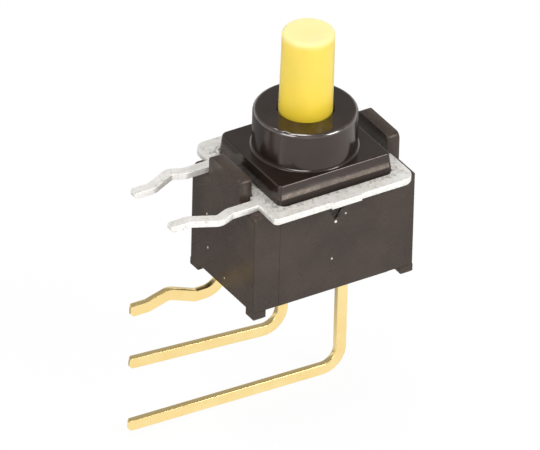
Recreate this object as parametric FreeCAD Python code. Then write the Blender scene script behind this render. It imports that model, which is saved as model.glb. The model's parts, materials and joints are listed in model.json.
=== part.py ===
import FreeCAD, Part
import math
import os

# A right-angle momentary pushbutton switch: a moulded base with three stamped
# leads, a sheet bracket with two board legs, a cover with a round bushing, and a
# capped plunger on a return spring. Millimetres. The plunger axis is Z, the origin
# is on the cover's top face, and the circuit board lies square to X, on the -X side.

V = FreeCAD.Vector

# Base housing
base_end_margin = 0.60
base_width = 4.34
base_height = 3.99
front_wall = 0.43
floor_thickness = 0.45
base_corner_radius = 0.10
base_edge_chamfer = 0.16
foot_size = 0.52
foot_height = 0.36
foot_chamfer = 0.08
ear_thickness = 0.51
ear_length = 2.10
ear_height = 0.95
ear_corner_radius = 0.22
relief_length = 1.06
relief_depth = 0.04
mark_width = 0.60
mark_height = 0.48
mark_drop = 0.82
mark_depth = 0.06
seal_recess_depth = 0.20
seal_recess_margin = 0.22
spring_post_radius = 0.50
spring_post_height = 0.80

# Bracket, one stamped sheet
sheet_thickness = 0.25
frame_end_inset = 0.40
frame_side_overhang = 0.70
frame_corner_radius = 0.50
frame_rail_width = 0.38
frame_clamp_margin = 0.09
frame_window_radius = 0.20
tab_length = 1.26
tab_depth = 0.08
leg_width = 0.40
leg_root_offset = 1.53
leg_tip_offset = 1.27
leg_kink_outward = 0.22
leg_straight = 1.10
leg_kink_rise = 0.55
leg_kink_run = 0.98
leg_bend_radius = 0.32
board_reach = 3.05

# Cover and bushing, one moulding
cover_width = 4.28
cover_rise = 0.99
cover_corner_radius = 0.30
cover_edge_radius = 0.06
skirt_wall = 0.35
core_roof = 0.70
boss_wall = 0.42
bushing_radius = 1.90
bushing_height = 1.51
bushing_rim_radius = 0.16
bushing_foot_groove = 0.07
bushing_groove_depth = 0.04
bushing_mouth_chamfer = 0.06

# Plunger, cap and travel
total_travel = 1.00
cap_radius = 1.015
cap_top_radius = 0.952
cap_height_above_bushing = 3.22
cap_depth_in_bushing = 1.25
cap_edge_radius = 0.15
cap_dish_depth = 0.05
cap_crown = 0.90
stem_radius = 0.50
shaft_radius = 0.75
flange_radius = 1.12
flange_thickness = 0.27
tail_radius = 0.42
tail_length = 0.36

# Shaft seal
seal_section = 0.45
seal_section_sides = 8
seal_lip_thickness = 0.17
retainer_thickness = 0.20

# Leads and contacts
lead_pitch = 2.54
lead_width = 0.42
lead_thickness = 0.25
lead_row_offset = 1.27
lead_bend_radius = 0.76
lead_tip_chamfer = 0.08
upper_lead_drop = 1.02
upper_kink_start = 1.15
upper_kink_rise = 0.43
upper_kink_run = 1.12
upper_tip_drop = 0.24
upper_tip_run = 0.85
kink_bend_radius = 0.45
common_lead_drop = 3.51
common_tip_rise = 0.45
lower_lead_drop = 5.98
lower_tip_rise = 0.23
pad_above = 0.60
pad_below = 0.20
pad_length = 0.55

# Contact carrier, clip and spring
carrier_front = 1.25
finger_reach = 0.345
carrier_height = 1.05
carrier_corner_radius = 0.15
clip_thickness = 0.08
clip_band_height = 0.36
clip_band_drop = 0.12
finger_width = 0.38
finger_fall = 0.30
finger_curl = 0.22
finger_bend_radius = 0.10
peg_radius = 0.09
peg_stand = 0.05
peg_offset = 0.95
spring_radius = 0.72
spring_wire = 0.16
spring_turns = 5
spring_stations = 12
spring_section_sides = 6
spring_pocket_radius = 0.90
spring_pocket_depth = 0.57

# Clearances
sheet_clearance = 0.05
slot_clearance = 0.02
skirt_clearance = 0.05
window_clearance = 0.02
carrier_clearance = 0.15
bore_clearance = 0.065
shaft_clearance = 0.03
stop_clearance = 0.03
wipe_clearance = 0.03
fit_clearance = 0.01

# Edges count as level or upright within this
edge_tolerance = 1e-6

# Levels and faces that several pieces share
base_top = -cover_rise
base_bottom = base_top - base_height
floor_top = base_bottom + floor_thickness
sheet_top = base_top + sheet_thickness
lead_places = [row * lead_pitch for row in (-1, 0, 1)]
base_end = lead_pitch + lead_width / 2 + base_end_margin
base_side = base_width / 2
frame_end = base_end - frame_end_inset
frame_side = base_side + frame_side_overhang
cavity_end = lead_pitch - lead_width / 2
pilot_end = cavity_end - skirt_clearance
window_end = pilot_end + window_clearance
cover_end = window_end + frame_clamp_margin
cover_side = cover_width / 2
window_side = frame_side - frame_rail_width
blade_front = lead_row_offset - lead_thickness / 2
blade_back = lead_row_offset + lead_thickness / 2
ear_face = base_end - ear_thickness
board_tip = -(base_end + board_reach)
bore_radius = cap_radius + bore_clearance
cap_top = bushing_height + cap_height_above_bushing
cap_bottom = bushing_height - cap_depth_in_bushing
lip_top = cap_bottom - total_travel - stop_clearance
chamber_top = lip_top - seal_lip_thickness
chamber_radius = shaft_radius + shaft_clearance + seal_section
retainer_top = chamber_top - seal_section - stop_clearance
retainer_bottom = retainer_top - retainer_thickness
flange_top = retainer_bottom - stop_clearance
carrier_top = flange_top - flange_thickness
carrier_bottom = carrier_top - carrier_height
skirt_bottom = carrier_top + skirt_clearance
pocket_roof = carrier_bottom + spring_pocket_depth
carrier_end = cavity_end - carrier_clearance
carrier_back = blade_front - finger_reach
clip_top = carrier_top - clip_band_drop
contact_level = clip_top - clip_band_height - finger_fall
blade_top = contact_level + pad_above


def block(x_range, y_range, z_range):
    """A box between three pairs of limits."""
    corner = V(x_range[0], y_range[0], z_range[0])
    sizes = [pair[1] - pair[0] for pair in (x_range, y_range, z_range)]
    return Part.makeBox(sizes[0], sizes[1], sizes[2], corner)


def rod(radius, z_low, z_high):
    """A cylinder on the plunger axis."""
    return Part.makeCylinder(radius, z_high - z_low, V(0, 0, z_low))


def turned(profile):
    """A solid of revolution about the plunger axis, from (radius, z) points."""
    points = [V(radius, 0, z) for radius, z in profile]
    outline = Part.makePolygon(points + points[:1])
    return Part.Face(outline).revolve(V(0, 0, 0), V(0, 0, 1), 360)


def upright_edges(shape):
    """The straight edges that run along Z."""
    boxes = [(edge, edge.BoundBox) for edge in shape.Edges]
    return [edge for edge, box in boxes if max(box.XLength, box.YLength) < edge_tolerance]


def edges_at_top(shape, z):
    """The edges that lie at one level, the highest of the shape."""
    return [edge for edge in shape.Edges if edge.BoundBox.ZMin > z - edge_tolerance]


def rim_circle(shape, z):
    """The round edge at the top of a turned solid, without its seam."""
    return [edge for edge in edges_at_top(shape, z) if edge.BoundBox.YLength > edge_tolerance]


def rounded_block(x_range, y_range, z_range, radius):
    """A box with its four upright edges rounded."""
    shape = block(x_range, y_range, z_range)
    return shape.makeFillet(radius, upright_edges(shape))


def rounded_path(points, radius):
    """A wire of straight runs joined by tangent arcs of one radius."""
    edges = []
    start = points[0]
    for before, corner, after in zip(points, points[1:], points[2:]):
        inward = (before - corner).normalize()
        outward = (after - corner).normalize()
        half_angle = inward.getAngle(outward) / 2
        cut = radius / math.tan(half_angle)
        bisector = (inward + outward).normalize()
        middle = corner + bisector * (radius / math.sin(half_angle) - radius)
        arc_start = corner + inward * cut
        arc_end = corner + outward * cut
        edges.append(Part.LineSegment(start, arc_start).toShape())
        edges.append(Part.Arc(arc_start, middle, arc_end).toShape())
        start = arc_end
    edges.append(Part.LineSegment(start, points[-1]).toShape())
    return Part.Wire(edges)


def strip(points, radius, width, thickness, face_normal):
    """A flat stamped strip along a bent centre line that lies in one plane."""
    heading = (points[1] - points[0]).normalize()
    across = heading.cross(face_normal).normalize()
    side = across * (width / 2)
    lift = face_normal * (thickness / 2)
    start = points[0]
    corners = [start - side - lift, start + side - lift, start + side + lift, start - side + lift]
    section = Part.makePolygon(corners + corners[:1])
    return rounded_path(points, radius).makePipeShell([section], True, False)


def chamfer_tip(shape):
    """Breaks the edges of the end face, which is the one farthest toward the board."""
    end = min(shape.Faces, key=lambda face: face.CenterOfMass.x)
    return shape.makeChamfer(lead_tip_chamfer, end.Edges)


def make_feet():
    """The four corner feet, with their lower edges broken."""
    feet = []
    low = base_bottom - foot_height
    for x_side in (-1, 1):
        for y_side in (-1, 1):
            x_limits = sorted((x_side * base_end, x_side * (base_end - foot_size)))
            y_limits = sorted((y_side * base_side, y_side * (base_side - foot_size)))
            foot = block(x_limits, y_limits, (low, base_bottom))
            lower = [e for e in foot.Edges if e.BoundBox.ZMax < low + foot_height / 2]
            feet.append(foot.makeChamfer(foot_chamfer, lower))
    return feet


def make_ears():
    """The two upstands that locate the bracket, rounded at their upper corners."""
    ears = []
    for side in (-1, 1):
        x_limits = sorted((side * base_end, side * ear_face))
        ear_top = base_top + ear_height
        ear = block(x_limits, (-ear_length / 2, ear_length / 2), (base_top - base_edge_chamfer, ear_top))
        upper = [e for e in edges_at_top(ear, ear_top) if e.BoundBox.YLength < edge_tolerance]
        ears.append(ear.makeFillet(ear_corner_radius, upper))
    return ears


def index_mark():
    """A small sunk triangle on the front face, which tells the leads' order."""
    top = base_top - mark_drop + mark_height / 2
    face_y = -base_side - relief_depth
    corners = [
        V(lead_places[1] - mark_width / 2, face_y, top),
        V(lead_places[1] + mark_width / 2, face_y, top),
        V(lead_places[1], face_y, top - mark_height),
    ]
    outline = Part.Face(Part.makePolygon(corners + corners[:1]))
    return outline.extrude(V(0, mark_depth + relief_depth, 0))


def lead_slot(x):
    """The slot for one lead through the floor, open to the cavity or its corner pocket."""
    reach = lead_width / 2 + slot_clearance
    y_limits = (blade_front - slot_clearance, blade_back)
    return block((x - reach, x + reach), y_limits, (base_bottom - foot_height, base_top))


def seal_recess():
    """The limits of the sealant pool in the underside, round the three leads."""
    reach = lead_width / 2 + seal_recess_margin
    x_limits = (lead_places[0] - reach, lead_places[-1] + reach)
    y_limits = (blade_front - seal_recess_margin, blade_back + seal_recess_margin)
    return x_limits, y_limits, (base_bottom, base_bottom + seal_recess_depth)


def end_wedges():
    """What the chamfers take off the upper end edges, outside the bracket."""
    wedges = []
    for side in (-1, 1):
        corners = [
            V(side * base_end, -base_side, base_top),
            V(side * (base_end - base_edge_chamfer), -base_side, base_top),
            V(side * base_end, -base_side, base_top - base_edge_chamfer),
        ]
        outline = Part.Face(Part.makePolygon(corners + corners[:1]))
        wedges.append(outline.extrude(V(0, base_width, 0)))
    return wedges


def make_base():
    body = rounded_block(
        (-base_end, base_end), (-base_side, base_side), (base_bottom, base_top), base_corner_radius
    )
    body = body.cut(end_wedges())
    for x_side in (-1, 1):
        for y_side in (-1, 1):
            x_limits = sorted((x_side * base_end, x_side * (base_end - relief_length)))
            y_limits = sorted((y_side * base_side, y_side * (base_side - relief_depth)))
            body = body.cut(block(x_limits, y_limits, (base_bottom, base_top)))
    body = body.fuse(make_ears() + make_feet())
    cavity = block((-cavity_end, cavity_end), (-base_side + front_wall, blade_back), (floor_top, base_top))
    body = body.cut([cavity, index_mark(), block(*seal_recess())] + [lead_slot(x) for x in lead_places])
    post = rod(spring_post_radius, floor_top, floor_top + spring_post_height)
    return body.fuse(post).removeSplitter()


def make_bracket():
    sheet_z = (base_top, sheet_top)
    plate = rounded_block(
        (-frame_end, frame_end), (-frame_side, frame_side), sheet_z, frame_corner_radius
    )
    window = rounded_block(
        (-window_end, window_end), (-window_side, window_side), sheet_z, frame_window_radius
    )
    notch_side = ear_length / 2 + sheet_clearance
    notch_face = ear_face - sheet_clearance
    notches = [
        block(sorted((side * notch_face, side * base_end)), (-notch_side, notch_side), sheet_z)
        for side in (-1, 1)
    ]
    tab = block(
        (-tab_length / 2, tab_length / 2), (-frame_side - tab_depth, -frame_side + tab_depth), sheet_z
    )
    legs = [bracket_leg(side) for side in (-1, 1)]
    return plate.fuse([tab] + legs).cut([window] + notches).removeSplitter()


def bracket_leg(side):
    """A leg to the board, kinked outward in the plane of the sheet to grip its hole."""
    z = base_top + sheet_thickness / 2
    root_x = -frame_end + frame_rail_width / 2
    start_x = -frame_end - leg_straight
    crest_x = start_x - leg_kink_rise
    settle_x = crest_x - leg_kink_run
    crest_y = side * (leg_root_offset + leg_kink_outward)
    points = [
        V(root_x, side * leg_root_offset, z),
        V(start_x, side * leg_root_offset, z),
        V(crest_x, crest_y, z),
        V(settle_x, side * leg_tip_offset, z),
        V(board_tip, side * leg_tip_offset, z),
    ]
    leg = strip(points, leg_bend_radius, leg_width, sheet_thickness, V(0, 0, 1))
    return chamfer_tip(leg)


def make_cover():
    plate = rounded_block(
        (-cover_end, cover_end), (-cover_side, cover_side), (sheet_top, 0), cover_corner_radius
    )
    plate = plate.makeFillet(cover_edge_radius, edges_at_top(plate, 0))
    pilot = block((-pilot_end, pilot_end), (-cover_side, cover_side), (base_top, sheet_top))
    outer = (
        (-pilot_end, pilot_end),
        (-base_side + front_wall + skirt_clearance, blade_front - skirt_clearance),
        (skirt_bottom, base_top),
    )
    skirt = block(*outer)
    core = block(
        (outer[0][0] + skirt_wall, outer[0][1] - skirt_wall),
        (outer[1][0] + skirt_wall, outer[1][1] - skirt_wall),
        (skirt_bottom, -core_roof),
    )
    boss = rod(chamber_radius + boss_wall, skirt_bottom, -core_roof)
    boss = boss.common(block(outer[0], outer[1], (skirt_bottom, -core_roof)))
    bushing = turned([(0, -core_roof), (bushing_radius, -core_roof), (bushing_radius, bushing_height),
                      (0, bushing_height)])
    bushing = bushing.makeFillet(bushing_rim_radius, rim_circle(bushing, bushing_height))
    body = plate.fuse([pilot, skirt]).cut(core).fuse([boss, bushing]).removeSplitter()
    groove = rod(bushing_radius + bushing_foot_groove, -bushing_groove_depth, 0)
    groove = groove.cut(rod(bushing_radius, -bushing_groove_depth, 0))
    return body.cut([groove, cover_bore()])


def cover_bore():
    """The stepped bore: cap guide, lip over the shaft seal, and the seal's chamber."""
    lip_radius = shaft_radius + shaft_clearance
    mouth = bore_radius + bushing_mouth_chamfer
    return turned([
        (0, bushing_height), (mouth, bushing_height), (bore_radius, bushing_height - bushing_mouth_chamfer),
        (bore_radius, lip_top), (lip_radius, lip_top), (lip_radius, chamber_top),
        (chamber_radius, chamber_top), (chamber_radius, skirt_bottom), (0, skirt_bottom),
    ])


def make_shaft_seal():
    """An O-ring, whose round section is drawn as a polygon to keep its mesh light."""
    section_radius = seal_section / 2
    ring_radius = chamber_radius - section_radius
    ring_z = retainer_top + section_radius
    turns = [2 * math.pi * side / seal_section_sides for side in range(seal_section_sides)]
    return turned([
        (ring_radius + section_radius * math.cos(turn), ring_z + section_radius * math.sin(turn))
        for turn in turns
    ])


def make_seal_retainer():
    washer = rod(chamber_radius, retainer_bottom, retainer_top)
    return washer.cut(rod(shaft_radius + shaft_clearance, retainer_bottom, retainer_top))


def make_plunger():
    """Stem, shaft, stop flange and a tail that enters the contact carrier."""
    stem_top = cap_top - cap_crown
    return turned([
        (0, stem_top), (stem_radius, stem_top), (stem_radius, cap_bottom),
        (shaft_radius, cap_bottom), (shaft_radius, flange_top),
        (flange_radius, flange_top), (flange_radius, carrier_top),
        (tail_radius, carrier_top), (tail_radius, carrier_top - tail_length), (0, carrier_top - tail_length),
    ])


def make_cap():
    """A tapered cap with a straight lower end that runs in the bushing."""
    body = turned([
        (0, cap_bottom), (cap_radius, cap_bottom), (cap_radius, bushing_height),
        (cap_top_radius, cap_top), (0, cap_top),
    ])
    body = body.makeFillet(cap_edge_radius, rim_circle(body, cap_top))
    dish_span = cap_top_radius - cap_edge_radius
    dish_radius = (dish_span ** 2 + cap_dish_depth ** 2) / (2 * cap_dish_depth)
    dish = Part.makeSphere(dish_radius, V(0, 0, cap_top - cap_dish_depth + dish_radius))
    socket = rod(stem_radius, cap_bottom, cap_top - cap_crown)
    return body.cut([dish, socket])


def clip_pegs(radius):
    """The two pegs that stake the clip to the carrier's back, or their holes."""
    z = clip_top - clip_band_height / 2
    length = clip_thickness + peg_stand
    return [
        Part.makeCylinder(radius, length, V(side * peg_offset, carrier_back, z), V(0, 1, 0))
        for side in (-1, 1)
    ]


def make_contact_carrier():
    x_limits = (-carrier_end, carrier_end)
    y_limits = (-carrier_front, carrier_back)
    body = rounded_block(x_limits, y_limits, (carrier_bottom, carrier_top), carrier_corner_radius)
    tail_hole = rod(tail_radius, carrier_top - tail_length, carrier_top)
    pocket = rod(spring_pocket_radius, carrier_bottom, pocket_roof)
    return body.fuse(clip_pegs(peg_radius)).cut([tail_hole, pocket])


def contact_finger(x):
    """One spring finger: down from the band, out to the blade and back."""
    face_y = carrier_back + clip_thickness / 2
    crest_y = blade_front - wipe_clearance - clip_thickness / 2
    points = [
        V(x, face_y, clip_top - clip_band_height / 2),
        V(x, face_y, clip_top - clip_band_height),
        V(x, crest_y, contact_level),
        V(x, face_y + clip_thickness, contact_level - finger_curl),
    ]
    return strip(points, finger_bend_radius, clip_thickness, finger_width, V(1, 0, 0))


def finger_places():
    """One finger over each lead's contact, inboard of the outer two leads."""
    inboard = lead_width / 2 + pad_length / 2
    return [lead_places[0] + inboard, lead_places[1], lead_places[-1] - inboard]


def make_contact_clip():
    places = finger_places()
    x_limits = (places[0] - finger_width / 2, places[-1] + finger_width / 2)
    y_limits = (carrier_back, carrier_back + clip_thickness)
    band = block(x_limits, y_limits, (clip_top - clip_band_height, clip_top))
    body = band.fuse([contact_finger(x) for x in places])
    return body.cut(clip_pegs(peg_radius + fit_clearance)).removeSplitter()


def blade(x_range, z_range):
    return block(x_range, (blade_front, blade_back), z_range)


def lead_sides(x):
    return x - lead_width / 2, x + lead_width / 2


def make_upper_lead():
    """The lead whose contact pad is at the top of the stroke; its tail is kinked."""
    x = lead_places[0]
    level = base_bottom - upper_lead_drop
    kink_x = x - upper_kink_start
    crest_x = kink_x - upper_kink_run
    settle_x = crest_x - upper_tip_run
    left, right = lead_sides(x)
    elbow = strip(
        [V(x, lead_row_offset, floor_top), V(x, lead_row_offset, level), V(kink_x, lead_row_offset, level)],
        lead_bend_radius, lead_width, lead_thickness, V(0, 1, 0),
    )
    tail_points = [
        V(kink_x + kink_bend_radius, lead_row_offset, level),
        V(kink_x, lead_row_offset, level),
        V(crest_x, lead_row_offset, level + upper_kink_rise),
        V(settle_x, lead_row_offset, level + upper_kink_rise - upper_tip_drop),
        V(board_tip, lead_row_offset, level + upper_kink_rise - upper_tip_drop),
    ]
    tail = strip(tail_points, kink_bend_radius, lead_width, lead_thickness, V(0, 1, 0))
    tail = chamfer_tip(tail)
    post = blade((left, right), (floor_top, blade_top))
    pad = blade((left, right + pad_length), (contact_level - pad_below, blade_top))
    return elbow.fuse([tail, post, pad]).removeSplitter()


def plain_lead(x, drop, tip_rise, inner_blocks):
    """A lead with one elbow below the case and a tail that climbs to its tip."""
    level = base_bottom - drop
    path = [
        V(x, lead_row_offset, floor_top),
        V(x, lead_row_offset, level),
        V(board_tip, lead_row_offset, level + tip_rise),
    ]
    tail = strip(path, lead_bend_radius, lead_width, lead_thickness, V(0, 1, 0))
    tail = chamfer_tip(tail)
    return tail.fuse(inner_blocks).removeSplitter()


def make_common_lead():
    x = lead_places[1]
    post = blade(lead_sides(x), (floor_top, blade_top))
    return plain_lead(x, common_lead_drop, common_tip_rise, [post])


def make_lower_lead():
    x = lead_places[-1]
    left, right = lead_sides(x)
    pressed_level = contact_level - total_travel
    pad_top = pressed_level + pad_above
    post = blade((left, right), (floor_top, pad_top))
    pad = blade((left - pad_length, right), (pressed_level - pad_below, pad_top))
    return plain_lead(x, lower_lead_drop, lower_tip_rise, [post, pad])


def make_lead_seal():
    """Cast sealant that fills the recess round the leads."""
    pool = block(*seal_recess())
    reach = lead_width / 2
    z_limits = (base_bottom, base_bottom + seal_recess_depth)
    return pool.cut([blade((x - reach, x + reach), z_limits) for x in lead_places])


def wire_section(angle, centre_z):
    """The spring wire's section at one angle round the coil, as a regular polygon."""
    outward = V(math.cos(angle), math.sin(angle), 0)
    centre = outward * spring_radius + V(0, 0, centre_z)
    turns = [2 * math.pi * side / spring_section_sides for side in range(spring_section_sides)]
    rim = [
        centre + outward * (spring_wire / 2 * math.cos(turn)) + V(0, 0, spring_wire / 2 * math.sin(turn))
        for turn in turns
    ]
    return Part.makePolygon(rim + rim[:1])


def make_return_spring():
    rise = pocket_roof - floor_top - spring_wire
    low = floor_top + spring_wire / 2
    stations = spring_turns * spring_stations
    sections = [
        wire_section(2 * math.pi * step / spring_stations, low + rise * step / stations)
        for step in range(stations + 1)
    ]
    return Part.makeLoft(sections, True, True)


def main():
    pieces = {
        "base": make_base(),
        "bracket": make_bracket(),
        "cover": make_cover(),
        "shaft_seal": make_shaft_seal(),
        "seal_retainer": make_seal_retainer(),
        "plunger": make_plunger(),
        "cap": make_cap(),
        "contact_carrier": make_contact_carrier(),
        "contact_clip": make_contact_clip(),
        "upper_lead": make_upper_lead(),
        "common_lead": make_common_lead(),
        "lower_lead": make_lower_lead(),
        "lead_seal": make_lead_seal(),
        "return_spring": make_return_spring(),
    }
    os.makedirs("parts", exist_ok=True)
    for name, shape in pieces.items():
        box = shape.BoundBox
        limits = (box.XMin, box.XMax, box.YMin, box.YMax, box.ZMin, box.ZMax)
        print(name, len(shape.Solids), shape.isValid(), round(shape.Volume, 4), [round(v, 3) for v in limits])
        shape.exportStep(os.path.join("parts", name + ".step"))


main()
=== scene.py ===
import json
import math

import bmesh
import bpy
from mathutils import Matrix, Vector


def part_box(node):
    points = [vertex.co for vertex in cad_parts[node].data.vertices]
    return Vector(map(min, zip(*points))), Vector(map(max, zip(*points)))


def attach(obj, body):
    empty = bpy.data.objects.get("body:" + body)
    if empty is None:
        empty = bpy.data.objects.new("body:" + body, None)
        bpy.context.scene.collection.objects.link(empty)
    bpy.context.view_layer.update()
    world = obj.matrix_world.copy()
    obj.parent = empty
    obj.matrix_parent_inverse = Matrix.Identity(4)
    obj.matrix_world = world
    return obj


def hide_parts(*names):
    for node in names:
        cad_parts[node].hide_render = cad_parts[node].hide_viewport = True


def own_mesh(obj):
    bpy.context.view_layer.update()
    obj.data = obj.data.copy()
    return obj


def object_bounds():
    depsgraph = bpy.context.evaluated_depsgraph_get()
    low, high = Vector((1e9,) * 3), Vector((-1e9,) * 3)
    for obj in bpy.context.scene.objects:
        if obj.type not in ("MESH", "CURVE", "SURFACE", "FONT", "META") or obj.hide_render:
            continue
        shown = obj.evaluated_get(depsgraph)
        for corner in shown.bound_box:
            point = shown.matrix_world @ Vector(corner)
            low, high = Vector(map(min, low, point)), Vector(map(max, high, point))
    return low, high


# The looks of a small right-angle pushbutton switch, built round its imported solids.
# Lengths below are millimetres, and MM turns them into Blender's metres.

MM = 0.001

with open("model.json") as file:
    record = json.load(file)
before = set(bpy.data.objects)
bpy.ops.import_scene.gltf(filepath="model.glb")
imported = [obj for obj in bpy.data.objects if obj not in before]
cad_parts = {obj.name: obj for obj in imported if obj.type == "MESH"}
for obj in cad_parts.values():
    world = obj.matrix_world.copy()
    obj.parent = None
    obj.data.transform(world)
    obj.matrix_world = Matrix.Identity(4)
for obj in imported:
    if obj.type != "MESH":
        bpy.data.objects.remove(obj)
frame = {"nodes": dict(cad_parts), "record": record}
cad_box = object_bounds()
nodes = frame["nodes"]


def corners(node):
    """A node's lowest and highest corners in millimetres, rounded to a tenth of a micrometre."""
    return [[round(value / MM, 4) for value in corner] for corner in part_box(node)]


# Sides and levels that the looks follow: cover plate and bushing, bracket sheet, case and cap
PLATE_X, PLATE_Y, BUSHING_TOP = corners("cover")[1]
SHEET_X, SHEET_Y, SHEET_TOP = corners("bracket")[1]
_, _, SHEET_UNDERSIDE = corners("bracket")[0]
_, CASE_Y, _ = corners("base")[1]
_, _, CAP_TOP = corners("cap")[1]


# Node trees

class Nodes:
    """Short calls for the nodes of one tree, a material's or the world's."""

    def __init__(self, tree):
        self.tree = tree

    def add(self, kind, inputs=None, **settings):
        """A new node, with each input set to a value or linked to another node."""
        node = self.tree.nodes.new(kind)
        for key, value in settings.items():
            setattr(node, key, value)
        for key, value in (inputs or {}).items():
            if isinstance(value, bpy.types.NodeSocket):
                self.tree.links.new(value, node.inputs[key])
            else:
                node.inputs[key].default_value = value
        return node

    def math(self, operation, first, second=0.0):
        return self.add("ShaderNodeMath", {0: first, 1: second}, operation=operation).outputs[0]

    def product(self, *values):
        result = values[0]
        for value in values[1:]:
            result = self.math("MULTIPLY", result, value)
        return result

    def spread(self, value, low, high, to_low=0.0, to_high=1.0):
        """Maps a band of a value onto another band, clamped."""
        inputs = {"Value": value, "From Min": low, "From Max": high, "To Min": to_low, "To Max": to_high}
        return self.add("ShaderNodeMapRange", inputs).outputs["Result"]

    def background_share(self, path):
        """1 for rays that should see the plain background, 0 for light that falls on things."""
        share = self.math("MAXIMUM", path.outputs["Is Camera Ray"], path.outputs["Is Glossy Ray"])
        return self.math("MAXIMUM", share, path.outputs["Is Transmission Ray"])


class Look(Nodes):
    """A new material, with calls for what its colour, roughness and relief are made of."""

    def __init__(self, name):
        self.material = bpy.data.materials.new(name)
        self.material.use_nodes = True
        super().__init__(self.material.node_tree)
        self.shader = self.tree.nodes["Principled BSDF"]
        self.coordinates = self.add("ShaderNodeTexCoord").outputs["Object"]

    def place(self):
        """The place on the piece in millimetres, as three values."""
        scaled = self.add("ShaderNodeVectorMath", {0: self.coordinates, "Scale": 1 / MM}, operation="SCALE")
        split = self.add("ShaderNodeSeparateXYZ", {0: scaled.outputs[0]})
        return split.outputs["X"], split.outputs["Y"], split.outputs["Z"]

    def noise(self, size, detail=2.0, roughness=0.5):
        """Noise whose features are about size millimetres across."""
        inputs = {"Vector": self.coordinates, "Scale": 1 / (size * MM)}
        inputs.update({"Detail": detail, "Roughness": roughness})
        return self.add("ShaderNodeTexNoise", inputs).outputs["Fac"]

    def clouds(self, size, low=0.0, high=1.0, detail=3.0, roughness=0.5, band=(0.3, 0.7)):
        """Noise of which the middle band is spread from low to high."""
        return self.spread(self.noise(size, detail, roughness), *band, low, high)

    def mix(self, factor, first, second):
        return self.add("ShaderNodeMix", {0: factor, 6: first, 7: second}, data_type="RGBA").outputs[2]

    def link(self, value, socket):
        self.tree.links.new(value, self.shader.inputs[socket])

    def set(self, **values):
        """Sets the shader's own sockets, with _ in their names for a space."""
        for key, value in values.items():
            self.shader.inputs[key.replace("_", " ")].default_value = value

    def finish(self, tone, rough, relief, depth, strength):
        """Links colour, roughness and a relief of a depth in millimetres, and gives the material."""
        self.link(tone, "Base Color")
        self.link(rough, "Roughness")
        bump = self.add("ShaderNodeBump", {"Height": relief, "Distance": depth * MM, "Strength": strength})
        self.link(bump.outputs["Normal"], "Normal")
        return self.material


def rgb(red, green, blue):
    """A colour written as 0 to 255, as linear values with alpha."""
    def linear(value):
        share = value / 255
        return share / 12.92 if share <= 0.04045 else ((share + 0.055) / 1.055) ** 2.4
    return (linear(red), linear(green), linear(blue), 1.0)


# Materials

# Dust on the base: the cells that can hold a speck each, the share of them that stay bare,
# and the radii at which a speck starts to fade and is gone, as shares of its cell
DUST_CELL, DUST_BARE, DUST_RADII = 0.75, 0.52, (0.04, 0.07)


def dusted(look, tone):
    """Adds pale specks of dust, at most one to a cell."""
    cells = look.add("ShaderNodeTexVoronoi", {"Vector": look.coordinates, "Scale": 1 / (DUST_CELL * MM)})
    near = look.spread(cells.outputs["Distance"], *DUST_RADII, 1.0, 0.0)
    draw = look.add("ShaderNodeSeparateColor", {0: cells.outputs["Color"]}).outputs[0]
    return look.mix(look.product(near, look.math("GREATER_THAN", draw, DUST_BARE)), tone, rgb(205, 198, 190))


# The index mark on the base's front: where its tip is, the height of its top edge, how much it
# widens to each side per height, how soft its edge is, and how far to the front it starts
MARK_X, MARK_LOW, MARK_HIGH = 0.05, -2.18, -1.5
MARK_SLOPE, MARK_EDGE, MARK_FRONT = 0.60, 0.04, 2.05
# How dark the mark is and how pale the crumbs in it are, as shares of their colours
MARK_DARK, MARK_CRUMBS = 0.9, 0.5
# The fleck of dust at the mark's tip, and the radii at which it starts to fade and is gone
FLECK_PLACE, FLECK_RADII = Vector((0.03, -2.17, -2.13)), (0.045, 0.06)


def marked(look, tone):
    """Adds the index mark, a rough triangle that stands on its tip."""
    x, y, z = look.place()
    side = look.math("ABSOLUTE", look.math("ADD", x, -MARK_X))
    room = look.math("SUBTRACT", look.product(look.math("ADD", z, -MARK_LOW), MARK_SLOPE), side)
    front = look.math("LESS_THAN", y, -MARK_FRONT)
    below = look.math("LESS_THAN", z, MARK_HIGH)
    mark = look.product(look.spread(room, 0.0, MARK_EDGE), front, below)
    crumbs = look.clouds(0.06, detail=2.0, roughness=0.7, band=(0.54, 0.66))
    tone = look.mix(look.product(mark, MARK_DARK), tone, rgb(26, 20, 17))
    tone = look.mix(look.product(mark, crumbs, MARK_CRUMBS), tone, rgb(150, 138, 128))
    away = look.add("ShaderNodeVectorMath", {0: look.coordinates, 1: FLECK_PLACE * MM}, operation="DISTANCE")
    full, gone = (radius * MM for radius in FLECK_RADII)
    return look.mix(look.spread(away.outputs["Value"], full, gone, 1.0, 0.0), tone, rgb(236, 230, 224))


def base_plastic():
    look = Look("base_plastic")
    look.set(Specular_IOR_Level=0.32)
    tone = look.mix(look.clouds(1.3, band=(0.35, 0.65)), rgb(52, 42, 36), rgb(64, 53, 46))
    tone = look.mix(look.clouds(0.07, high=0.30, detail=2.0), tone, rgb(84, 72, 64))
    tone = marked(look, dusted(look, tone))
    rough = look.clouds(0.5, 0.24, 0.36)
    return look.finish(tone, rough, look.noise(0.055, roughness=0.6), depth=0.004, strength=0.40)


# The bushing's rim, paler partly with wear and partly with a painted highlight: the heights and the radii
# over which it starts
RIM_HEIGHTS, RIM_RADII = (1.37, 1.43), (1.77, 1.84)
# The bushing's foot: the heights over which it starts and ends, and the radii over which it starts
FOOT_LOW, FOOT_HIGH, FOOT_RADII = (0.0, 0.01), (0.07, 0.08), (1.895, 1.91)
# The clear coat that makes the rim and the foot shine
RIM_COAT, FOOT_COAT = 0.9, 0.3
# How far to the front the plate's front side starts
PLATE_FRONT = 2.0
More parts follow.
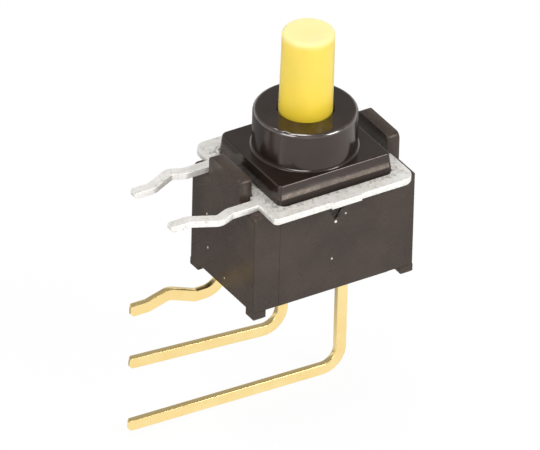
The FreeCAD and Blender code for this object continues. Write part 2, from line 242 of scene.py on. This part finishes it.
# The dull band along that side's lower edge: the heights over which it ends, and its roughness
DULL_HEIGHTS, DULL_ROUGHNESS = (-0.58, -0.52), 0.75
# The painted reflection of the sheet, a pale strip above that band: the heights over which it starts and
# ends, and half its length
REFLECTION_FOOT, REFLECTION_TOP, REFLECTION_END = (-0.59, -0.53), (-0.42, -0.34), 2.24


def cover_plastic():
    look = Look("cover_plastic")
    look.set(Specular_IOR_Level=0.72, Specular_Tint=(1.0, 0.86, 0.80, 1.0))
    look.set(Coat_Roughness=0.12, Coat_IOR=1.9)
    x, y, z = look.place()
    tone = look.mix(look.clouds(1.1, band=(0.35, 0.65)), rgb(31, 24, 20), rgb(40, 31, 26))
    radius = look.math("SQRT", look.math("ADD", look.product(x, x), look.product(y, y)))
    rim = look.product(look.spread(z, *RIM_HEIGHTS), look.spread(radius, *RIM_RADII))
    patchy = look.clouds(0.35, 0.05, 0.35, band=(0.35, 0.65))
    # Paler rim: partly wear, partly a painted highlight that stands in for the rim's shine
    tone = look.mix(look.product(rim, patchy), tone, rgb(104, 95, 90))
    foot = look.product(look.spread(z, *FOOT_LOW), look.spread(z, *FOOT_HIGH, 1.0, 0.0))
    foot = look.product(foot, look.spread(radius, *FOOT_RADII))
    look.link(look.math("MAXIMUM", look.product(rim, RIM_COAT), look.product(foot, FOOT_COAT)), "Coat Weight")
    front = look.math("LESS_THAN", y, -PLATE_FRONT)
    # A pale strip painted on the plate's front side, a painted reflection of the sheet's front rail
    painted_reflection = look.product(look.spread(z, *REFLECTION_FOOT), look.spread(z, *REFLECTION_TOP, 1.0, 0.0))
    painted_reflection = look.product(painted_reflection, front, look.math("LESS_THAN", look.math("ABSOLUTE", x), REFLECTION_END))
    broad = look.clouds(1.5, 0.5, 1.0, detail=1.0, band=(0.40, 0.60))
    fine = look.clouds(0.20, 0.30, 0.95, detail=4.0, roughness=0.65, band=(0.34, 0.62))
    tone = look.mix(look.product(painted_reflection, broad, fine), tone, rgb(132, 120, 109))
    dull = look.product(look.spread(z, *DULL_HEIGHTS, 1.0, 0.0), front, DULL_ROUGHNESS)
    rough = look.math("MAXIMUM", look.clouds(0.8, 0.12, 0.19), dull)
    return look.finish(tone, rough, look.noise(0.3), depth=0.0025, strength=0.2)


# Grime on the sheet: the band of noise over which it sets in and its most share, then how much is
# added to the noise beside the plate, and how far from the plate that starts to fade and is gone
GRIME_BAND, GRIME_MOST = (0.58, 0.76), 0.7
GRIME_MORE, GRIME_REACH = 0.16, (0.05, 0.5)


def tinned_sheet():
    look = Look("tinned_sheet")
    look.set(Metallic=0.6)
    bright = look.clouds(0.35, detail=4.0, roughness=0.65, band=(0.35, 0.65))
    tone = look.mix(bright, rgb(255, 253, 250), rgb(240, 237, 231))
    stain = look.clouds(0.22, 0.0, 0.6, detail=5.0, roughness=0.7, band=(0.58, 0.72))
    tone = look.mix(stain, tone, rgb(184, 179, 164))
    x, y, _ = look.place()
    beside = look.math("ADD", look.math("ABSOLUTE", x), -PLATE_X)
    before = look.math("ADD", look.math("ABSOLUTE", y), -PLATE_Y)
    near = look.spread(look.math("MAXIMUM", beside, before), *GRIME_REACH, GRIME_MORE, 0.0)
    grime = look.math("ADD", look.noise(0.18, 4.0, 0.65), near)
    tone = look.mix(look.spread(grime, *GRIME_BAND, 0.0, GRIME_MOST), tone, rgb(142, 138, 120))
    rough = look.clouds(0.12, 0.40, 0.55, roughness=0.6)
    return look.finish(tone, rough, look.noise(0.16, 3.0, 0.6), depth=0.003, strength=0.18)


def gold_plating():
    look = Look("gold_plating")
    look.set(Metallic=1.0)
    tone = look.mix(look.clouds(0.7), rgb(255, 231, 166), rgb(252, 221, 150))
    rough = look.clouds(0.15, 0.22, 0.28, roughness=0.6)
    return look.finish(tone, rough, look.noise(0.6, detail=1.0), depth=0.004, strength=0.06)


# Heights over which the cap's yellow turns from a deeper, brighter foot, painted light that lifts the shade
# beside the bushing, and to a paler head, a painted highlight
CAP_FOOT_LIGHT = (1.2, 3.4)
CAP_HEAD_HIGHLIGHT = (4.45, 4.70)


def cap_plastic():
    look = Look("cap_plastic")
    look.set(Specular_IOR_Level=0.45, Sheen_Weight=0.25, Sheen_Roughness=0.3)
    look.set(Subsurface_Weight=0.4, Subsurface_Scale=0.8 * MM, Subsurface_Radius=(1.0, 0.8, 0.25))
    _, _, height = look.place()
    body = look.mix(look.clouds(0.9), rgb(243, 216, 96), rgb(239, 209, 82))
    # Painted light: a deeper, brighter yellow at the foot, and a paler head as a painted highlight
    foot = look.mix(look.spread(height, *CAP_FOOT_LIGHT, 1.0, 0.0), body, rgb(255, 214, 50))
    tone = look.mix(look.spread(height, *CAP_HEAD_HIGHLIGHT), foot, rgb(236, 225, 160))
    rough = look.clouds(0.3, 0.30, 0.38, detail=2.0)
    return look.finish(tone, rough, look.noise(0.12), depth=0.003, strength=0.25)


def inner_plastic():
    look = Look("inner_plastic")
    tone = look.mix(look.clouds(0.6), rgb(226, 222, 212), rgb(214, 209, 198))
    rough = look.clouds(0.2, 0.42, 0.55, detail=2.0)
    return look.finish(tone, rough, look.noise(0.08), depth=0.003, strength=0.3)


def seal_rubber():
    look = Look("seal_rubber")
    tone = look.mix(look.clouds(0.4), rgb(30, 30, 30), rgb(42, 42, 42))
    rough = look.clouds(0.15, 0.5, 0.65, detail=2.0)
    return look.finish(tone, rough, look.noise(0.05), depth=0.003, strength=0.3)


def sealant():
    look = Look("sealant")
    tone = look.mix(look.clouds(0.5), rgb(58, 50, 42), rgb(74, 64, 52))
    rough = look.clouds(0.3, 0.25, 0.4, detail=2.0)
    return look.finish(tone, rough, look.noise(0.4), depth=0.02, strength=0.4)


def spring_steel():
    look = Look("spring_steel")
    look.set(Metallic=1.0)
    tone = look.mix(look.clouds(0.3), rgb(196, 196, 196), rgb(178, 178, 180))
    rough = look.clouds(0.08, 0.25, 0.36, detail=2.0)
    return look.finish(tone, rough, look.noise(0.05), depth=0.002, strength=0.3)


MAKERS = (
    base_plastic, cover_plastic, tinned_sheet, gold_plating, cap_plastic,
    inner_plastic, seal_rubber, sealant, spring_steel,
)
materials = {maker.__name__: maker() for maker in MAKERS}


# Shapes that the dressed pieces have beyond their solids

# How far past the end of a band a point still counts as in it
LEVEL_TOLERANCE = 0.001
# The bushing's mouth: the level above which and the radius within which it lies, its bore in the
# solid, the radius that the bore is drawn in to, and the share that stays of what lies outside it
MOUTH_LEVEL, MOUTH_OUTER, MOUTH_BORE = 1.40, 1.20, 1.08
MOUTH_RADIUS, MOUTH_KEEP = 1.03, 0.3


def narrow_mouth(mesh):
    """Draws the bushing's mouth in, close round the cap."""
    for vertex in mesh.verts:
        radius = math.hypot(vertex.co.x, vertex.co.y)
        if vertex.co.z > MOUTH_LEVEL * MM and radius < MOUTH_OUTER * MM:
            inner = MOUTH_RADIUS * MM + (radius - MOUTH_BORE * MM) * MOUTH_KEEP
            vertex.co.x *= inner / radius
            vertex.co.y *= inner / radius


# How far the plate's top edges stand in, over its height above the sheet, outside this radius
DRAFT, PLATE_RISE, DRAFT_INSIDE = 0.075, -SHEET_TOP, 2.0


def draft_plate(mesh):
    """Leans the plate's four sides in toward its top."""
    for vertex in mesh.verts:
        x, y, z = vertex.co / MM
        if -PLATE_RISE < z < LEVEL_TOLERANCE and math.hypot(x, y) > DRAFT_INSIDE:
            inward = DRAFT * (z + PLATE_RISE) / PLATE_RISE
            if abs(x) > inward:
                vertex.co.x *= 1 - inward / abs(x)
            if abs(y) > inward:
                vertex.co.y *= 1 - inward / abs(y)


def tighten(mesh, centre, cut, sides, low):
    """Takes cut off the radius of the front corners' arcs round centre, above low, on the sides given."""
    for vertex in mesh.verts:
        x, y, z = vertex.co / MM
        across, along = abs(x) - centre[0], -y - centre[1]
        at_corner = min(across, along) > -LEVEL_TOLERANCE and low < z < LEVEL_TOLERANCE
        if at_corner and math.copysign(1, x) in sides:
            reach = math.hypot(across, along)
            vertex.co.x += math.copysign(cut * (1 - across / reach), x) * MM
            vertex.co.y -= cut * (1 - along / reach) * MM


# The radius of the plate's corners, and what is taken off it at the front
PLATE_CORNER, PLATE_CORNER_CUT = 0.30, 0.18


def shape_cover(mesh):
    narrow_mouth(mesh)
    centre = (PLATE_X - PLATE_CORNER, PLATE_Y - PLATE_CORNER)
    tighten(mesh, centre, PLATE_CORNER_CUT, (-1, 1), low=-PLATE_RISE - LEVEL_TOLERANCE)
    draft_plate(mesh)


# The share by which the cap's foot is slimmer, then how much the cap leans and which way
CAP_SLIM = 0.034
CAP_LEAN, CAP_LEAN_TOWARD = math.radians(0.6), (0.8455, -0.534)


def shape_cap(mesh):
    """Slims the cap's foot and leans the cap in its bore, as its loose fit lets it."""
    for vertex in mesh.verts:
        z = vertex.co.z / MM
        share = (CAP_TOP - z) / (CAP_TOP - BUSHING_TOP)
        slim = 1 - CAP_SLIM * min(max(share, 0.0), 1.0)
        shift = math.tan(CAP_LEAN) * (z - BUSHING_TOP) * MM
        vertex.co.x = vertex.co.x * slim + shift * CAP_LEAN_TOWARD[0]
        vertex.co.y = vertex.co.y * slim + shift * CAP_LEAN_TOWARD[1]


# The radius of the sheet's corners, and what is taken off it at the left front
SHEET_CORNER, SHEET_CORNER_CUT = 0.50, 0.33
# The window's long edges: half their length, and the band in which they lie
WINDOW_END, WINDOW_NEAR, WINDOW_FAR = 2.32, 2.28, 2.50
# How far the front edge moves in, where the back edge's band moves to, and the share of it that stays
WINDOW_FRONT_SHIFT = 0.22
WINDOW_BACK, WINDOW_KEEP = 2.10, 0.5


def shape_bracket(mesh):
    """Brings the window's front and back edges closer to the plate, and one corner to a point."""
    centre = (SHEET_X - SHEET_CORNER, SHEET_Y - SHEET_CORNER)
    tighten(mesh, centre, SHEET_CORNER_CUT, (-1,), low=SHEET_UNDERSIDE - LEVEL_TOLERANCE)
    for vertex in mesh.verts:
        x, y = vertex.co.x / MM, vertex.co.y / MM
        if abs(x) < WINDOW_END and WINDOW_NEAR < y < WINDOW_FAR:
            vertex.co.y = (WINDOW_BACK + (y - WINDOW_NEAR) * WINDOW_KEEP) * MM
        if abs(x) < WINDOW_END and WINDOW_NEAR < -y < WINDOW_FAR:
            vertex.co.y += WINDOW_FRONT_SHIFT * MM


# The step at the case's corners: how wide a band holds it, and the share of the step that stays
STEP_BAND, STEP_KEEP = 0.05, 0.3


def soften_step(mesh):
    """Leaves only a faint step between the case's front and its corners."""
    for vertex in mesh.verts:
        y = abs(vertex.co.y) / MM
        if CASE_Y - STEP_BAND < y < CASE_Y:
            vertex.co.y = math.copysign(CASE_Y - (CASE_Y - y) * STEP_KEEP, vertex.co.y) * MM


# What changes a node's mesh before its edges are broken, and after
SHAPERS = {"cover": shape_cover, "cap": shape_cap, "bracket": shape_bracket}
FINISHERS = {"base": soften_step}


# Pieces

# The angle above which an edge is sharp, the one below which faces are one flat face,
# and the distance below which points are one
SHARP_ANGLE = math.radians(34)
FLAT_ANGLE = math.radians(0.4)
MERGE_DISTANCE = 0.0002


def break_edges(mesh, edges, width):
    bmesh.ops.bevel(
        mesh, geom=edges, offset=width * MM, offset_type="OFFSET", segments=2, profile=0.5,
        affect="EDGES", clamp_overlap=True,
    )


def smooth_data(mesh, name):
    """Mesh data with smooth faces and its sharp edges kept, from a bmesh that is then freed."""
    data = bpy.data.meshes.new(name)
    mesh.to_mesh(data)
    mesh.free()
    data.shade_smooth()
    data.set_sharp_from_angle(angle=SHARP_ANGLE)
    return data


def wear(piece, slot):
    """Gives a piece the material of a slot."""
    piece.data.materials.clear()
    piece.data.materials.append(materials[slot])


def add_piece(name, data, body, slot):
    """A new piece in the scene, which moves with a body and has a slot's material."""
    piece = bpy.data.objects.new(name, data)
    bpy.context.scene.collection.objects.link(piece)
    wear(piece, slot)
    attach(piece, body)
    return piece


def dressed_mesh(node, width):
    """The node's own surface with its flat faces joined, its shape refined and its sharp edges broken."""
    mesh = bmesh.new()
    mesh.from_mesh(nodes[node].data)
    bmesh.ops.remove_doubles(mesh, verts=mesh.verts, dist=MERGE_DISTANCE * MM)
    if node in SHAPERS:
        SHAPERS[node](mesh)
    bmesh.ops.dissolve_limit(mesh, angle_limit=FLAT_ANGLE, verts=mesh.verts, edges=mesh.edges)
    if width:
        sharp = [edge for edge in mesh.edges if edge.is_manifold and edge.calc_face_angle() > SHARP_ANGLE]
        break_edges(mesh, sharp, width)
    if node in FINISHERS:
        FINISHERS[node](mesh)
    low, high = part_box(node)
    for vertex in mesh.verts:
        vertex.co = [min(max(value, least), most) for value, least, most in zip(vertex.co, low, high)]
    return smooth_data(mesh, node + "_dressed")


# Piece, the node it stands for, its body and the width of its broken edges
DRESSED = (
    ("base_moulding", "base", "housing", 0.02),
    ("bracket_stamping", "bracket", "housing", 0.02),
    ("cover_moulding", "cover", "housing", 0.02),
    ("cap_moulding", "cap", "plunger", 0.0),
    ("upper_lead_stamping", "upper_lead", "housing", 0.025),
    ("common_lead_stamping", "common_lead", "housing", 0.025),
    ("lower_lead_stamping", "lower_lead", "housing", 0.025),
)


def dress_nodes():
    """Gives every node its material, and the nodes that show a finer mesh in their place."""
    slots = {row["node"]: row["material_slot"] for row in frame["record"]["subparts"]}
    for node, slot in slots.items():
        wear(nodes[node], slot)
    for name, node, body, width in DRESSED:
        piece = add_piece(name, dressed_mesh(node, width), body, slots[node])
        weighted = piece.modifiers.new("even_shading", "WEIGHTED_NORMAL")
        weighted.keep_sharp = True
        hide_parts(node)


# The dark ledges that close the grooves between plate and sheet from below: half their length,
# their gap under the sheet, their thickness, the width of their broken edges, and each one's sides
LEDGE_END = 2.27
LEDGE_GAP, LEDGE_THICKNESS, LEDGE_EDGE = 0.005, 0.055, 0.015
LEDGES = (("groove_ledge_front", -2.55, -2.15), ("groove_ledge_back", 2.15, 2.35))


def make_ledges():
    for name, near, far in LEDGES:
        sizes = Vector((2 * LEDGE_END, far - near, LEDGE_THICKNESS))
        centre = Vector((0, (near + far) / 2, SHEET_UNDERSIDE - LEDGE_GAP - LEDGE_THICKNESS / 2))
        mesh = bmesh.new()
        bmesh.ops.create_cube(mesh, size=1.0, matrix=Matrix.LocRotScale(centre * MM, None, sizes * MM))
        break_edges(mesh, mesh.edges[:], LEDGE_EDGE)
        add_piece(name, smooth_data(mesh, name), "housing", "base_plastic")


# The raised ring at the bushing's foot, as radius and height round its section
BEAD_SECTION = (
    (1.89, -0.035), (1.972, -0.035), (1.972, 0.0), (1.965, 0.012),
    (1.915, 0.05), (1.90, 0.056), (1.89, 0.056),
)
BEAD_SEGMENTS = 160


def make_bead():
    """The fine raised ring where the bushing meets the plate."""
    mesh = bmesh.new()
    rings = []
    for segment in range(BEAD_SEGMENTS):
        angle = 2 * math.pi * segment / BEAD_SEGMENTS
        across = Vector((math.cos(angle), math.sin(angle), 0))
        points = [across * radius + Vector((0, 0, z)) for radius, z in BEAD_SECTION]
        rings.append([mesh.verts.new(point * MM) for point in points])
    for ring, after in zip(rings, rings[1:] + rings[:1]):
        for low in range(len(ring)):
            high = (low + 1) % len(ring)
            mesh.faces.new((ring[low], after[low], after[high], ring[high]))
    bmesh.ops.recalc_face_normals(mesh, faces=mesh.faces)
    add_piece("bushing_foot_bead", smooth_data(mesh, "bushing_foot_bead"), "housing", "cover_plastic")


def squash_spring():
    """Gives the return spring a mesh of its own."""
    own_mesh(nodes["return_spring"])


# Stage, light and camera

WHITE = (1.0, 1.0, 1.0, 1.0)
# The even light from all round
AMBIENT = 0.52
# The sky that gloss sees: from where to where it fades, as a direction's height from 0 level to
# 1 upright, and its strength at either end
SKY_FADE = (0.12, 0.45, 1.0, 0.36)


def make_world():
    """White to the camera, even light on the object, and a sky that gloss sees darken upward."""
    world = bpy.data.worlds.new("studio")
    bpy.context.scene.world = world
    world.use_nodes = True
    sky = Nodes(world.node_tree)
    path = sky.add("ShaderNodeLightPath")
    light = sky.tree.nodes["Background"]
    light.inputs["Color"].default_value = WHITE
    light.inputs["Strength"].default_value = AMBIENT
    direction = sky.add("ShaderNodeTexCoord").outputs["Generated"]
    height = sky.add("ShaderNodeSeparateXYZ", {0: direction}).outputs["Z"]
    strength = sky.math("MAXIMUM", sky.spread(height, *SKY_FADE), path.outputs["Is Camera Ray"])
    seen = sky.add("ShaderNodeBackground", {"Color": WHITE, "Strength": strength})
    share = sky.background_share(path)
    both = sky.add("ShaderNodeMixShader", {0: share, 1: light.outputs[0], 2: seen.outputs[0]})
    sky.tree.links.new(both.outputs[0], sky.tree.nodes["World Output"].inputs["Surface"])


# Half the floor's side, and its gap under the object
FLOOR_HALF, FLOOR_GAP = 400.0, 0.02
FLOOR_COLOUR, FLOOR_ROUGHNESS = (0.93, 0.93, 0.93, 1.0), 0.9
# The share of plain white in the floor that rays see, where the rest is its own shading
FLOOR_GLOW = 0.93
# Gloss sees the floor fade over this stretch, from the front's strength to the back's
FLOOR_FADE = (1.5, 6.5)
FLOOR_FRONT, FLOOR_BACK = 1.0, 0.3


def make_floor():
    """A pale floor that shows as the white background and keeps a faint shadow."""
    z = cad_box[0].z - FLOOR_GAP * MM
    half = FLOOR_HALF * MM
    points = [(-half, -half, z), (half, -half, z), (half, half, z), (-half, half, z)]
    data = bpy.data.meshes.new("floor")
    data.from_pydata(points, [], [(0, 1, 2, 3)])
    floor = bpy.data.objects.new("floor", data)
    bpy.context.scene.collection.objects.link(floor)
    look = Look("floor_white")
    look.set(Base_Color=FLOOR_COLOUR, Roughness=FLOOR_ROUGHNESS, Specular_IOR_Level=0.0)
    path = look.add("ShaderNodeLightPath")
    _, y, _ = look.place()
    fade = look.spread(y, *FLOOR_FADE, FLOOR_FRONT, FLOOR_BACK)
    strength = look.math("MAXIMUM", fade, path.outputs["Is Camera Ray"])
    glow = look.add("ShaderNodeEmission", {"Color": WHITE, "Strength": strength})
    share = look.product(look.background_share(path), FLOOR_GLOW)
    both = look.add("ShaderNodeMixShader", {0: share, 1: look.shader.outputs[0], 2: glow.outputs[0]})
    look.tree.links.new(both.outputs[0], look.tree.nodes["Material Output"].inputs["Surface"])
    data.materials.append(look.material)


# Lamp, its place, its two sides and its power in watts; each looks at the origin
LAMPS = (
    ("lamp_left", (-160, -60, 92), 85, 75, 0.115),
    ("lamp_right", (76, -121, 92), 70, 70, 0.13),
    ("lamp_top", (-15, 5, 150), 90, 48, 0.09),
)


def make_lamps():
    for name, place, width, height, power in LAMPS:
        data = bpy.data.lights.new(name, "AREA")
        data.shape = "RECTANGLE"
        data.size = width * MM
        data.size_y = height * MM
        data.energy = power
        lamp = bpy.data.objects.new(name, data)
        lamp.location = Vector(place) * MM
        lamp.rotation_euler = (-Vector(place)).to_track_quat("-Z", "Y").to_euler()
        bpy.context.scene.collection.objects.link(lamp)


# The photograph's view: a long lens from the front left, held slightly turned. The angles are
# degrees, and the camera stands off the line through what it aims at, to the left and below.
AZIMUTH, ELEVATION, ROLL = -32.275, 32.845, -1.473
AIM, DISTANCE = (0.0, 0.0, -2.5), 509.8
SHIFT_LEFT, SHIFT_DOWN = 1.1818, 0.8281
LENS, SENSOR = 949.7, 36.0
CLIP_NEAR, CLIP_FAR = 10.0, 10000.0


def make_camera():
    azimuth, elevation, roll = (math.radians(angle) for angle in (AZIMUTH, ELEVATION, ROLL))
    reach = math.cos(elevation)
    back = Vector((math.sin(azimuth) * reach, -math.cos(azimuth) * reach, math.sin(elevation)))
    level = Vector((math.cos(azimuth), math.sin(azimuth), 0))
    rise = back.cross(level)
    right = level * math.cos(roll) - rise * math.sin(roll)
    up = rise * math.cos(roll) + level * math.sin(roll)
    place = Vector(AIM) + back * DISTANCE - right * SHIFT_LEFT - up * SHIFT_DOWN
    data = bpy.data.cameras.new("camera")
    data.lens = LENS
    data.sensor_width = SENSOR
    data.clip_start = CLIP_NEAR * MM
    data.clip_end = CLIP_FAR * MM
    camera = bpy.data.objects.new("camera", data)
    axes = Matrix((right, up, back)).transposed().to_4x4()
    camera.matrix_world = Matrix.Translation(place * MM) @ axes
    bpy.context.scene.collection.objects.link(camera)
    bpy.context.scene.camera = camera


dress_nodes()
make_ledges()
make_bead()
squash_spring()
make_world()
make_floor()
make_lamps()
make_camera()
bpy.context.scene.view_settings.view_transform = "Standard"
